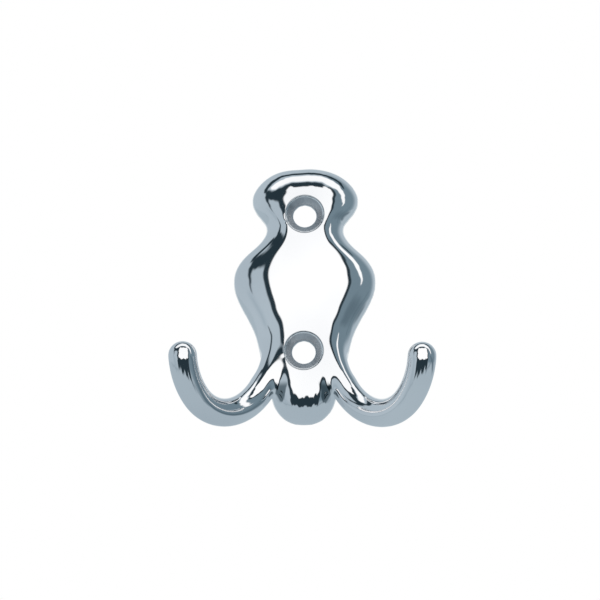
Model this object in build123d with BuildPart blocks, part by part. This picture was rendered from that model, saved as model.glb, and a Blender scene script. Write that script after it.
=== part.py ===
from build123d import *
from math import cos, radians, sin
import os

os.makedirs("parts", exist_ok=True)

# Wall plate, millimetres; x runs across, z up, the wall is the plane y = 0
plate_depth = 5.6
top_z = 24.4
nose_z = -27.5

# Half outline of the plate where it meets the wall, from the top round to the foot
wall_line = [
    (4.6, 23.9),
    (8.5, 21.7),
    (10.5, 17.8),
    (9.3, 14.7),
    (7.6, 12.0),
    (8.9, 9.0),
    (11.8, 6.2),
    (13.7, 3.1),
    (13.8, -0.4),
    (11.9, -5.0),
    (9.7, -9.4),
    (8.7, -13.2),
    (7.9, -16.8),
    (6.8, -20.0),
    (6.2, -22.6),
    (4.1, -26.1),
]

# The same points on the front, where the rounding runs out into the flat face
face_line = [
    (1.2, 16.6),
    (1.9, 15.9),
    (2.3, 14.6),
    (2.4, 13.0),
    (2.5, 11.0),
    (2.9, 7.8),
    (3.9, 5.0),
    (4.7, 2.3),
    (4.7, -0.6),
    (3.9, -4.4),
    (3.1, -8.8),
    (2.8, -12.8),
    (2.6, -15.6),
    (2.4, -17.0),
    (2.0, -18.0),
    (1.1, -18.6),
]
face_top_z = 16.8
face_foot_z = -18.8

# Strips round the edge, from the wall up to the face
rounding_steps = 9

# Hollow cast into the back, with draft: its outline at the rim and at its floor, as shares of the
# way from the wall line to the face line
hollow_depth = 3.0
rim_inset = 0.35
floor_inset = 0.42

# Screw holes for a 4 mm countersunk wood screw
hole_spacing = 27.5
hole_radius = 2.3
sink_radius = 3.8
sink_depth = sink_radius - hole_radius
sink_over = 1.0

# Prongs: a straight run that starts inside the plate, then a curl that leans out from the wall
prong_radius = 2.7
wall_clearance = 0.05
prong_root_x = 2.8
prong_root_z = -8.65
run_length = 11.4
run_splay = 23.3
curl_lean = 46
root_widening = 1.9
run_sections = 5

# Arcs of the curl, from the run to the tip
curl_radii = [10.9, 10.2, 15.4]
curl_degrees = [36, 75, 33]


def mirrored(top, side, foot):
    other_side = [(-x, z) for x, z in reversed(side)]
    return [top, *side, foot, *other_side]


def outline_at(inset):
    """Plate outline, moved by the share inset from the wall line to the face line."""
    top = (0, top_z + inset * (face_top_z - top_z))
    foot = (0, nose_z + inset * (face_foot_z - nose_z))
    pairs = zip(wall_line, face_line)
    side = [(wx + inset * (fx - wx), wz + inset * (fz - wz)) for (wx, wz), (fx, fz) in pairs]
    return mirrored(top, side, foot)


# Plate and nose, with an elliptical rounding from the wall up to the flat face
with BuildPart() as plate:
    for step in range(rounding_steps + 1):
        angle = radians(90 * step / rounding_steps)
        with BuildSketch(Plane.XZ.offset(plate_depth * sin(angle))):
            with BuildLine():
                Spline(*outline_at(1 - cos(angle)), periodic=True)
            make_face()
    loft(ruled=True)

# Right prong: widened run, curl and round tip
splay = radians(run_splay)
lean = radians(curl_lean)
root = Vector(prong_root_x, -prong_radius - wall_clearance, prong_root_z)
run_way = Vector(sin(splay), 0, -cos(splay))
across = Vector(cos(splay), 0, sin(splay))
curl_way = across * cos(lean) + Vector(0, -sin(lean), 0)

with BuildPart() as prong:
    for step in range(run_sections):
        share = step / (run_sections - 1)
        widening = root_widening * (1 - share) ** 2
        with BuildSketch(Plane(origin=root + run_way * run_length * share, x_dir=across, z_dir=run_way)):
            Ellipse(prong_radius + widening, prong_radius)
    loft()
    end = (run_length, 0)
    heading = (1, 0)
    with BuildLine(Plane(origin=root, x_dir=run_way, z_dir=run_way.cross(curl_way))) as curl:
        for radius, degrees in zip(curl_radii, curl_degrees):
            arc = JernArc(start=end, tangent=heading, radius=radius, arc_size=degrees)
            end = arc @ 1
            heading = arc % 1
    with BuildSketch(Plane(origin=curl.line @ 0, z_dir=run_way)):
        Circle(prong_radius)
    sweep(path=curl.line)
    with Locations(Plane(origin=end, z_dir=heading)):
        Sphere(prong_radius, arc_size1=0, align=(Align.CENTER, Align.CENTER, Align.MIN))

# All that is open: the hollow back, the screw holes and their countersinks
with BuildPart() as openings:
    for depth, inset in ((0, rim_inset), (hollow_depth, floor_inset)):
        with BuildSketch(Plane.XZ.offset(depth)):
            with BuildLine():
                Spline(*outline_at(inset), periodic=True)
            make_face()
    loft(ruled=True)
    with Locations(Plane.XZ):
        with GridLocations(0, hole_spacing, 1, 2):
            Cylinder(hole_radius, plate_depth, align=(Align.CENTER, Align.CENTER, Align.MIN))
    with Locations(Plane.XZ.offset(plate_depth - sink_depth)):
        with GridLocations(0, hole_spacing, 1, 2):
            Cone(
                hole_radius,
                sink_radius + sink_over,
                sink_depth + sink_over,
                align=(Align.CENTER, Align.CENTER, Align.MIN),
            )

with BuildPart() as prongs:
    add(prong.part)
    add(mirror(prong.part, about=Plane.YZ))
    add(openings.part, mode=Mode.SUBTRACT)

with BuildPart() as hook:
    add(plate.part)
    add(openings.part, mode=Mode.SUBTRACT)
    add(prongs.part)

hook.part.label = "wall_hook"
export_step(hook.part, "parts/wall_hook.step")
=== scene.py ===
from math import cos, radians, sin

import bmesh
import bpy
import numpy as np
from mathutils import Matrix, Vector


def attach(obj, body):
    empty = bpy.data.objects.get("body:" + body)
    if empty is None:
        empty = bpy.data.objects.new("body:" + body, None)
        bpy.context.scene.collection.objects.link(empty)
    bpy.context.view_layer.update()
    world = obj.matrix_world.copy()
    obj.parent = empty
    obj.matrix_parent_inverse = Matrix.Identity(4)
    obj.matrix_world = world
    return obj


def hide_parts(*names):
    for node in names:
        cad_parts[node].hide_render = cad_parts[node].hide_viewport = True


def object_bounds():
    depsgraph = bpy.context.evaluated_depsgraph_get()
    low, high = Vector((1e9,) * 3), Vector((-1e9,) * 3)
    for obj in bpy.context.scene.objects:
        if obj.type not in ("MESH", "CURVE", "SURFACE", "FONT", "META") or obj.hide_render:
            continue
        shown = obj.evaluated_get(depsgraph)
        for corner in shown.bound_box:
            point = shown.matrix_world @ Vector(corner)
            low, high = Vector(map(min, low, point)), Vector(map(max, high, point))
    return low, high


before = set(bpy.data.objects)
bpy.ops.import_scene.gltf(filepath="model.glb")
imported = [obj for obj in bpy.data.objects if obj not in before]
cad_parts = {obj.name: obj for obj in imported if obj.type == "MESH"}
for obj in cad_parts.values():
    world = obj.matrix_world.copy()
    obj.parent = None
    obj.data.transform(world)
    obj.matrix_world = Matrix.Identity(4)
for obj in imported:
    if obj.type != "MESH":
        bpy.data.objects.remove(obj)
cad_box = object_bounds()
MM = 0.001


# Small helpers
def smoothstep(low, high, value):
    t = np.clip((value - low) / (high - low), 0.0, 1.0)
    return t * t * (3 - 2 * t)


def new_object(name, mesh):
    made = bpy.data.objects.new(name, mesh)
    bpy.context.scene.collection.objects.link(made)
    return made


def new_material(name):
    material = bpy.data.materials.new(name)
    material.use_nodes = True
    return material, material.node_tree.nodes, material.node_tree.links


def seen_tone(red, green, blue):
    """Linear colour of a display tone from 0 to 255."""
    shares = np.array([red, green, blue]) / 255
    return np.where(shares <= 0.04045, shares / 12.92, ((shares + 0.055) / 1.055) ** 2.4)


# Camera: in front of the hook, below it and a little to the right, on the photo's outline
YAW = radians(1.24)
PITCH = radians(14.49)
ROLL = radians(0.41)
DISTANCE = 450 * MM
PIXELS_PER_METRE = 5120
CENTRE_PIXEL = (304.25, 282.93)
IMAGE_SIDE = 600
SENSOR = 36
TARGET_DEPTH = 4.5 * MM

target = Vector((0, -TARGET_DEPTH, 0))
level_right = Vector((cos(YAW), sin(YAW), 0))
level_up = Vector((sin(PITCH) * sin(YAW), -sin(PITCH) * cos(YAW), cos(PITCH)))
towards_camera = Vector((cos(PITCH) * sin(YAW), -cos(PITCH) * cos(YAW), -sin(PITCH)))
turned_right = cos(ROLL) * level_right + sin(ROLL) * level_up
turned_up = cos(ROLL) * level_up - sin(ROLL) * level_right
aim = target - turned_right * ((CENTRE_PIXEL[0] - IMAGE_SIDE / 2) / PIXELS_PER_METRE)
aim = aim - turned_up * ((IMAGE_SIDE / 2 - CENTRE_PIXEL[1]) / PIXELS_PER_METRE)
place = target + towards_camera * DISTANCE
view_back = (place - aim).normalized()
view_right = turned_up.cross(view_back).normalized()
view_up = view_back.cross(view_right)

camera_data = bpy.data.cameras.new("camera")
camera_data.sensor_width = SENSOR
camera_data.lens = PIXELS_PER_METRE * DISTANCE * SENSOR / IMAGE_SIDE
camera_data.clip_start = 0.01
camera = new_object("camera", camera_data)
view_turn = Matrix((view_right, view_up, view_back)).transposed()
camera.matrix_world = Matrix.Translation(place) @ view_turn.to_4x4()
bpy.context.scene.camera = camera
bpy.context.scene.view_settings.view_transform = "Standard"


# The casting: the CAD body as one fine, even skin, relaxed so that the plating reflects smoothly
HOLE_Z = 13.75 * MM
SINK_RADIUS = 3.8 * MM
SKIN_STEP = 0.25 * MM
WELD_GAP = 1e-6

welded = bmesh.new()
welded.from_mesh(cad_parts["wall_hook"].data)
bmesh.ops.remove_doubles(welded, verts=welded.verts, dist=WELD_GAP)
rough_skin = bpy.data.meshes.new("casting_source")
welded.to_mesh(rough_skin)
welded.free()
source = new_object("casting_source", rough_skin)
remesh = source.modifiers.new("even_skin", "REMESH")
remesh.mode = "VOXEL"
remesh.voxel_size = SKIN_STEP
bpy.context.view_layer.update()
skin = bpy.data.meshes.new_from_object(source.evaluated_get(bpy.context.evaluated_depsgraph_get()))
bpy.data.objects.remove(source)

count = len(skin.vertices)
points = np.empty(count * 3)
skin.vertices.foreach_get("co", points)
points = points.reshape(-1, 3)
pairs = np.empty(len(skin.edges) * 2, dtype=np.int64)
skin.edges.foreach_get("vertices", pairs)
first, second = pairs[0::2], pairs[1::2]
links = np.bincount(first, minlength=count) + np.bincount(second, minlength=count)


def neighbour_mean(values):
    """Mean of each skin point's neighbours."""
    out = np.empty_like(values)
    for k in range(3):
        total = np.bincount(first, weights=values[second, k], minlength=count)
        total += np.bincount(second, weights=values[first, k], minlength=count)
        out[:, k] = total / links
    return out


def skin_normals():
    values = np.empty(count * 3)
    skin.vertices.foreach_get("normal", values)
    return values.reshape(-1, 3)


def reshape_skin():
    """Move the mesh to the points, so that its normals follow."""
    skin.vertices.foreach_set("co", points.ravel())
    skin.update()


# Cast fillets: metal fills the creases in front, where the prongs leave the plate and the nose
FILLET_STEPS = 90
FILLET_PACE = 0.5
FILLETS_FADE_FROM, FILLETS_FULL_AT = -4 * MM, -8 * MM
CLEAR_OF_HOLLOW = -3.4 * MM
FACING_OUT = 0.2
from_hole = np.hypot(points[:, 0], np.abs(points[:, 2]) - HOLE_Z)
outward = np.sign(points[:, 0]) * skin_normals()[:, 0]
in_front = (points[:, 1] < CLEAR_OF_HOLLOW) | (outward > FACING_OUT)
off_sinks = smoothstep(SINK_RADIUS + 0.3 * MM, SINK_RADIUS + 1.2 * MM, from_hole)
fillet_zone = in_front * smoothstep(FILLETS_FADE_FROM, FILLETS_FULL_AT, points[:, 2]) * off_sinks
for step in range(FILLET_STEPS):
    normals = skin_normals()
    rise = np.sum((neighbour_mean(points) - points) * normals, axis=1)
    points += (FILLET_PACE * fillet_zone * np.maximum(rise, 0))[:, None] * normals
    reshape_skin()

# The root of each prong flows out of the rounding of the plate
BLEND_STEPS = 240
BLEND_PACE = 0.5
BLEND_EDGE, BLEND_CORE = 4.2 * MM, 1.6 * MM
BLEND_TOP = np.array((4.8, -9.0)) * MM
BLEND_FOOT = np.array((7.6, -15.5)) * MM
beside = np.stack([np.abs(points[:, 0]), points[:, 2]], axis=1) - BLEND_TOP
along = BLEND_FOOT - BLEND_TOP
share = np.clip(beside @ along / (along @ along), 0, 1)
off_line = np.linalg.norm(beside - share[:, None] * along, axis=1)
off_wall = smoothstep(-1.5 * MM, -3 * MM, points[:, 1])
blend = smoothstep(BLEND_EDGE, BLEND_CORE, off_line) * off_wall * in_front * off_sinks
for step in range(BLEND_STEPS):
    points += BLEND_PACE * blend[:, None] * (neighbour_mean(points) - points)

# Low-pass relaxing keeps the volume; the countersinks are relaxed less, so their rims stay crisp
RELAX_STEPS = 300
SHRINK, SWELL = 0.5, 0.52
RIM_FREEDOM = 0.25
past_rim = smoothstep(SINK_RADIUS + 0.1 * MM, SINK_RADIUS + 0.9 * MM, from_hole)
freedom = (RIM_FREEDOM + (1 - RIM_FREEDOM) * past_rim)[:, None]
for step in range(RELAX_STEPS):
    points += SHRINK * freedom * (neighbour_mean(points) - points)
    points -= SWELL * freedom * (neighbour_mean(points) - points)
low, high = (np.array(corner) for corner in cad_box)
points = np.clip(points, low, high)
reshape_skin()

# The prong tips are buffed a little flat in front
TIP_FLATTENING = 0.2 * MM
FLAT_SHARE = 0.75
FACING_FROM, FACING_FULL_AT = 0.3, 0.6
TIPS_FROM, TIPS_FULL_AT = -13 * MM, -17 * MM
normals = skin_normals()
sideways = np.clip(np.abs(normals @ np.array(turned_right)) / FLAT_SHARE, 0, 1)
flat = TIP_FLATTENING * (1 - sideways ** 2) ** 2
flat *= smoothstep(TIPS_FROM, TIPS_FULL_AT, points[:, 1])
flat *= smoothstep(FACING_FROM, FACING_FULL_AT, normals @ np.array(towards_camera))
points -= flat[:, None] * np.array(towards_camera)
reshape_skin()

# Buffing blurs the slopes of the metal, except round the countersinks
BUFFING_STEPS = 24
BUFFING_PACE = 0.7
buffed = skin_normals()
reach = smoothstep(SINK_RADIUS + 0.3 * MM, SINK_RADIUS + 1.0 * MM, from_hole)[:, None]
for step in range(BUFFING_STEPS):
    buffed += BUFFING_PACE * reach * (neighbour_mean(buffed) - buffed)
    buffed /= np.linalg.norm(buffed, axis=1)[:, None]
skin.shade_smooth()
skin.normals_split_custom_set_from_vertices(buffed.tolist())
casting = new_object("plated_casting", skin)

# Chrome plate: bright, with a faint unevenness of the polish; rougher in the countersinks, and darker there
# by painted shade
PLATE_REFLECTANCE = 0.93
POLISH_ROUGHNESS = 0.035
UNEVEN_ROUGHNESS = 0.03
SINK_ROUGHNESS = 0.32
RIPPLE_STRENGTH = 0.02
RIPPLE_DEPTH = 0.05 * MM
BRIGHT_TONES = (0.76, 0.775, 0.80), (1.0, 1.0, 1.0)
# Painted shade: darker tones laid into the countersinks
SINK_SHADE_TONES = (0.30, 0.33, 0.36), (0.72, 0.74, 0.76)
# Painted shade in the crease between the nose and each prong
CREASE_SHADE_TONE = (0.24, 0.28, 0.30)
# Painted highlight on the countersink lip
LIP_HIGHLIGHT_TONE = (0.95, 0.96, 0.97)
# Painted shade: the dark ring round each countersink
EDGE_SHADE_TONE = (0.30, 0.34, 0.37)

chrome, nodes, wires = new_material("chrome_plate")
shader = nodes["Principled BSDF"]
shader.inputs["Metallic"].default_value = 1.0
place_node = nodes.new("ShaderNodeTexCoord")
split = nodes.new("ShaderNodeSeparateXYZ")
wires.new(place_node.outputs["Object"], split.inputs["Vector"])


def math_node(operation, *values):
    node = nodes.new("ShaderNodeMath")
    node.operation = operation
    for socket, value in zip(node.inputs, values):
        if hasattr(value, "links"):
            wires.new(value, socket)
        else:
            socket.default_value = value
    return node.outputs["Value"]


def fade(value, none_at, full_at):
    """Smooth share of a distance, 0 to 1."""
    node = nodes.new("ShaderNodeMapRange")
    node.interpolation_type = "SMOOTHSTEP"
    node.inputs["From Min"].default_value = none_at
    node.inputs["From Max"].default_value = full_at
    wires.new(value, node.inputs["Value"])
    return node.outputs["Result"]


def mix_tone(share, first_tone, second_tone):
    """From the first tone to the second; either may be a plain colour."""
    node = nodes.new("ShaderNodeMix")
    node.data_type = "RGBA"
    wires.new(share, node.inputs["Factor"])
    for socket, value in ((node.inputs["A"], first_tone), (node.inputs["B"], second_tone)):
        if hasattr(value, "links"):
            wires.new(value, socket)
        else:
            socket.default_value = (*value, 1)
    return node.outputs["Result"]


def noise_share(scale, detail, where=place_node.outputs["Object"]):
    """Soft noise, 0 to 1, with about scale grains in a metre."""
    node = nodes.new("ShaderNodeTexNoise")
    node.inputs["Scale"].default_value = scale
    node.inputs["Detail"].default_value = detail
    wires.new(where, node.inputs["Vector"])
    return node.outputs["Fac"]


# Countersinks: the cone with painted shade, its lip with a painted highlight ring and the painted dark ring
# round it, on the front only
RING_EDGE, RING_CORE = 0.14 * MM, 0.04 * MM
height = math_node("SUBTRACT", math_node("ABSOLUTE", split.outputs["Z"]), HOLE_Z)
square = math_node("ADD", math_node("POWER", split.outputs["X"], 2.0), math_node("POWER", height, 2.0))
axis_distance = math_node("SQRT", square)
front_share = fade(split.outputs["Y"], -3.2 * MM, -3.6 * MM)
sink_share = fade(axis_distance, SINK_RADIUS + 0.05 * MM, SINK_RADIUS - 0.25 * MM)
sink_share = math_node("MULTIPLY", sink_share, front_share)


def ring_share(radius):
    """Share of a fine ring round either hole."""
    offset = math_node("ABSOLUTE", math_node("SUBTRACT", axis_distance, radius))
    return math_node("MULTIPLY", fade(offset, RING_EDGE, RING_CORE), front_share)


# Painted highlight: a bright ring on the lip of each countersink
lip_highlight_share = ring_share(SINK_RADIUS - 0.2 * MM)
# Painted shade: a dark ring just outside each countersink
edge_shade_share = ring_share(SINK_RADIUS + 0.04 * MM)

# Crease between the nose and each prong: painted shade, a line seen from the front, darker in upright
# streaks
CREASE_TOP = (4.1 * MM, -20.2 * MM)
CREASE_FOOT = (4.5 * MM, -22.6 * MM)
STREAKS_REACH = 1.6 * MM
STREAK_LENGTHENING = 5
crease_x = math_node("SUBTRACT", math_node("ABSOLUTE", split.outputs["X"]), CREASE_TOP[0])
crease_z = math_node("SUBTRACT", split.outputs["Z"], CREASE_TOP[1])
run_x, run_z = CREASE_FOOT[0] - CREASE_TOP[0], CREASE_FOOT[1] - CREASE_TOP[1]
run_square = run_x ** 2 + run_z ** 2
down = math_node(
    "ADD",
    math_node("MULTIPLY", crease_x, run_x / run_square),
    math_node("MULTIPLY", crease_z, run_z / run_square),
)
down = math_node("MINIMUM", math_node("MAXIMUM", down, 0.0), 1.0)
gap_x = math_node("SUBTRACT", crease_x, math_node("MULTIPLY", down, run_x))
gap_z = math_node("SUBTRACT", crease_z, math_node("MULTIPLY", down, run_z))
gap_square = math_node("ADD", math_node("POWER", gap_x, 2.0), math_node("POWER", gap_z, 2.0))
upright = nodes.new("ShaderNodeCombineXYZ")
wires.new(split.outputs["X"], upright.inputs["X"])
wires.new(math_node("MULTIPLY", split.outputs["Z"], 1 / STREAK_LENGTHENING), upright.inputs["Z"])
streaks = noise_share(1400, 2, upright.outputs["Vector"])
gap = math_node("ADD", math_node("SQRT", gap_square), math_node("MULTIPLY", streaks, STREAKS_REACH))
crease_shade_share = math_node("MULTIPLY", fade(gap, 1.95 * MM, 1.6 * MM), front_share)
crease_shade_share = math_node("MULTIPLY", crease_shade_share, fade(split.outputs["Z"], -19.4 * MM, -20.8 * MM))

# Polish and tones, laid over one another by the masks above
grain = noise_share(700, 3)
polish = math_node("ADD", math_node("MULTIPLY", grain, UNEVEN_ROUGHNESS), POLISH_ROUGHNESS)
roughness = nodes.new("ShaderNodeMix")
roughness.inputs["B"].default_value = SINK_ROUGHNESS
wires.new(sink_share, roughness.inputs["Factor"])
wires.new(polish, roughness.inputs["A"])
wires.new(roughness.outputs["Result"], shader.inputs["Roughness"])

bright = mix_tone(noise_share(75, 1), *BRIGHT_TONES)
# Painted shade in the countersinks, darker tones varied by noise
sink_shade = mix_tone(noise_share(420, 2), *SINK_SHADE_TONES)
# Painted shade in the crease by the nose
plated = mix_tone(crease_shade_share, bright, CREASE_SHADE_TONE)
metal = mix_tone(sink_share, plated, sink_shade)
# Painted highlight ring on the countersink lip
metal = mix_tone(lip_highlight_share, metal, LIP_HIGHLIGHT_TONE)
# Painted shade ring round the countersink
metal = mix_tone(edge_shade_share, metal, EDGE_SHADE_TONE)
wires.new(metal, shader.inputs["Base Color"])

ripple = nodes.new("ShaderNodeBump")
ripple.inputs["Strength"].default_value = RIPPLE_STRENGTH
ripple.inputs["Distance"].default_value = RIPPLE_DEPTH
wires.new(grain, ripple.inputs["Height"])
wires.new(ripple.outputs["Normal"], shader.inputs["Normal"])

casting.data.materials.clear()
casting.data.materials.append(chrome)
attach(casting, "root")
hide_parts("wall_hook")


# Studio shell: what the plating reflects, painted by angle from the camera's axis, in degrees
SHELL_RADIUS = 0.8
RINGS = 240
SECTORS = 300
OVERBRIGHT = 1.04
WHITE = seen_tone(255, 255, 255) * OVERBRIGHT
PALE = seen_tone(216, 223, 227)
LIGHT_GREY = seen_tone(174, 187, 196)
FLOOR_GREY = seen_tone(167, 181, 190)
MIST = seen_tone(156, 171, 181)
SLATE = seen_tone(112, 131, 142)
DEEP_SLATE = seen_tone(86, 104, 115)
DARK = seen_tone(38, 52, 60)

tilt, turn = np.meshgrid(
    np.linspace(0, 180, RINGS + 1), np.arange(SECTORS) * 360 / SECTORS, indexing="ij"
)
tilt, turn = tilt.ravel(), np.radians(turn.ravel())
across, upward = tilt * np.cos(turn), tilt * np.sin(turn)
# Real rooms have no straight edges: a slight wave runs through all that is painted
across, upward = (
    across + 1.1 * np.sin(upward * 0.19 + 0.5) + 0.6 * np.sin(upward * 0.47),
    upward + 0.9 * np.sin(across * 0.23 + 1.0) + 0.5 * np.sin(across * 0.61),
)
painted = np.tile(LIGHT_GREY, (len(tilt), 1))


def lay(mask, tone):
    """Paint over what is there; mask runs from 0 to 1."""
    painted[:] = painted * (1 - mask[:, None]) + tone * mask[:, None]


def ragged(size):
    """Uneven edge, as of things that stand in front of a light."""
    slow, brisk, quick = across * 0.31 + 1, across * 0.71, across * 1.4 + 2
    return size * (0.6 * np.sin(slow) + 0.3 * np.sin(brisk) + 0.1 * np.sin(quick))


def panel(left, right, bottom, top, corner, soft):
    """Rounded rectangle; bottom and top may vary along it."""
    out_x = np.maximum(np.maximum(left + corner - across, across - right + corner), 0)
    out_y = np.maximum(np.maximum(bottom + corner - upward, upward - top + corner), 0)
    return smoothstep(corner + soft, corner - soft, np.hypot(out_x, out_y))


def stroke(*path, soft=2.0):
    """Brush stroke through points given as across, upward and half width."""
    mask = np.zeros(len(across))
    for (x0, y0, w0), (x1, y1, w1) in zip(path, path[1:]):
        run, climb = x1 - x0, y1 - y0
        share = ((across - x0) * run + (upward - y0) * climb) / (run ** 2 + climb ** 2)
        share = np.clip(share, 0, 1)
        gap = np.hypot(across - x0 - share * run, upward - y0 - share * climb)
        width = w0 + share * (w1 - w0)
        mask = np.maximum(mask, smoothstep(width + soft, width - soft, gap))
    return mask


# Room: light on the left, slate on the right, a grey table with a dark edge below, pale far behind
lay(smoothstep(15, 40, across) * smoothstep(-70, -25, upward), SLATE)
lay(smoothstep(100, 135, tilt), LIGHT_GREY)
lay(smoothstep(-24, -34, upward), FLOOR_GREY)
lay(smoothstep(148, 165, tilt), PALE)
lay(stroke((-62, -4, 6), (-50, -30, 5), soft=14), MIST)
lay(stroke((55, 2, 3), (75, -20, 5), (100, -38, 6), soft=8), DEEP_SLATE)
lay(0.3 * stroke((-95, -32, 1), (-30, -37, 1), soft=2), DEEP_SLATE)
lay(0.7 * stroke((30, -37, 1), (62, -30, 1), (95, -8, 1), soft=3), DEEP_SLATE)
# Dark surround of the lights
over_strip = ((-66, 62, 5), (-56, 88, 7), (-30, 108, 5), (0, 114, 6), (30, 108, 5), (52, 92, 6), (62, 72, 2))
lay(stroke(*over_strip), DARK)
lay(stroke((-60, 10, 1), (-60, 36, 5), (-56, 56, 9), soft=3), DARK)
lay(stroke((-50, 50, 10), (-32, 46, 9), soft=3), DARK)
under_strip = ((-45, 48, 8), (-30, 58, 6), (-14, 68, 5), (0, 71, 6), (14, 68, 6), (28, 52, 4), (33, 34, 2))
lay(stroke(*under_strip), DARK)
# Overhead strip light, bent down on the right
lay(stroke((-42, 70, 8), (-20, 86, 10), (0, 91, 11), (20, 88, 11), (44, 70, 9)), WHITE)
lay(stroke((49, 62, 7), (56, 46, 5.5), (61, 31, 4), (62, 18, 1.5)), WHITE)
# Window in front, with its dark frame
lay(panel(-30, 36, -35 + ragged(5), 66, 12, 1.5), DARK)
lay(panel(-21, 30, -13 + ragged(5), 63 + ragged(3), 9, 1.2), WHITE)

tilt = np.radians(tilt)
spokes = np.cos(tilt)[:, None] * np.array(towards_camera)
spokes += (np.sin(tilt) * np.cos(turn))[:, None] * np.array(turned_right)
spokes += (np.sin(tilt) * np.sin(turn))[:, None] * np.array(turned_up)
row, column = np.meshgrid(np.arange(RINGS) * SECTORS, np.arange(SECTORS), indexing="ij")
following = (column + 1) % SECTORS
below = row + SECTORS
quads = np.stack([row + column, below + column, below + following, row + following], axis=-1)
shell_mesh = bpy.data.meshes.new("studio_shell")
shell_mesh.from_pydata((spokes * SHELL_RADIUS).tolist(), [], quads.reshape(-1, 4).tolist())
paint = shell_mesh.color_attributes.new("tone", "FLOAT_COLOR", "POINT")
paint.data.foreach_set("color", np.hstack([painted, np.ones((len(painted), 1))]).ravel())
shell = new_object("studio_shell", shell_mesh)
shell_material, nodes, wires = new_material("studio_shell")
nodes.clear()
tone = nodes.new("ShaderNodeVertexColor")
tone.layer_name = "tone"
glow = nodes.new("ShaderNodeEmission")
glow.inputs["Strength"].default_value = 1 / PLATE_REFLECTANCE
shell_out = nodes.new("ShaderNodeOutputMaterial")
wires.new(tone.outputs["Color"], glow.inputs["Color"])
wires.new(glow.outputs["Emission"], shell_out.inputs["Surface"])
shell_mesh.materials.append(shell_material)
shell.visible_camera = False
shell.visible_diffuse = False
shell.visible_shadow = False
shell.visible_transmission = False

# Pale floor
FLOOR_Z = -0.16
FLOOR_REACH = 2
FLOOR_TONE = 0.85
corners = [(x * FLOOR_REACH, y * FLOOR_REACH, FLOOR_Z) for x, y in ((-1, -1), (1, -1), (1, 1), (-1, 1))]
floor_mesh = bpy.data.meshes.new("floor")
floor_mesh.from_pydata(corners, [], [(0, 1, 2, 3)])
floor = new_object("floor", floor_mesh)
floor_material, nodes, wires = new_material("pale_floor")
nodes["Principled BSDF"].inputs["Base Color"].default_value = (FLOOR_TONE, FLOOR_TONE, FLOOR_TONE, 1)
nodes["Principled BSDF"].inputs["Roughness"].default_value = 0.8
floor_mesh.materials.append(floor_material)
floor.visible_glossy = False

# World: plain light, white where the camera or the metal sees it
PLAIN_STRENGTH = 0.85
WHITE_STRENGTH = 1.0
world = bpy.data.worlds.new("studio")
bpy.context.scene.world = world
world.use_nodes = True
nodes, wires = world.node_tree.nodes, world.node_tree.links
nodes.clear()
ray = nodes.new("ShaderNodeLightPath")
seen = math_node("MAXIMUM", ray.outputs["Is Camera Ray"], ray.outputs["Is Glossy Ray"])
mix = nodes.new("ShaderNodeMixShader")
wires.new(seen, mix.inputs["Fac"])
for socket, strength in ((mix.inputs[1], PLAIN_STRENGTH), (mix.inputs[2], WHITE_STRENGTH)):
    light = nodes.new("ShaderNodeBackground")
    light.inputs["Color"].default_value = (1, 1, 1, 1)
    light.inputs["Strength"].default_value = strength
    wires.new(light.outputs["Background"], socket)
world_out = nodes.new("ShaderNodeOutputWorld")
wires.new(mix.outputs["Shader"], world_out.inputs["Surface"])

# Soft overhead lamp for the floor's shadow
LAMP_PLACE = (0.1, -0.25, 0.7)
LAMP_WIDTH = 0.5
LAMP_WATTS = 3.0
lamp_data = bpy.data.lights.new("overhead", "AREA")
lamp_data.shape = "DISK"
lamp_data.size = LAMP_WIDTH
lamp_data.energy = LAMP_WATTS
lamp = new_object("overhead", lamp_data)
lamp.location = LAMP_PLACE
lamp.rotation_euler = (Vector((0, 0, 0)) - lamp.location).to_track_quat("-Z", "Y").to_euler()
lamp.visible_glossy = False
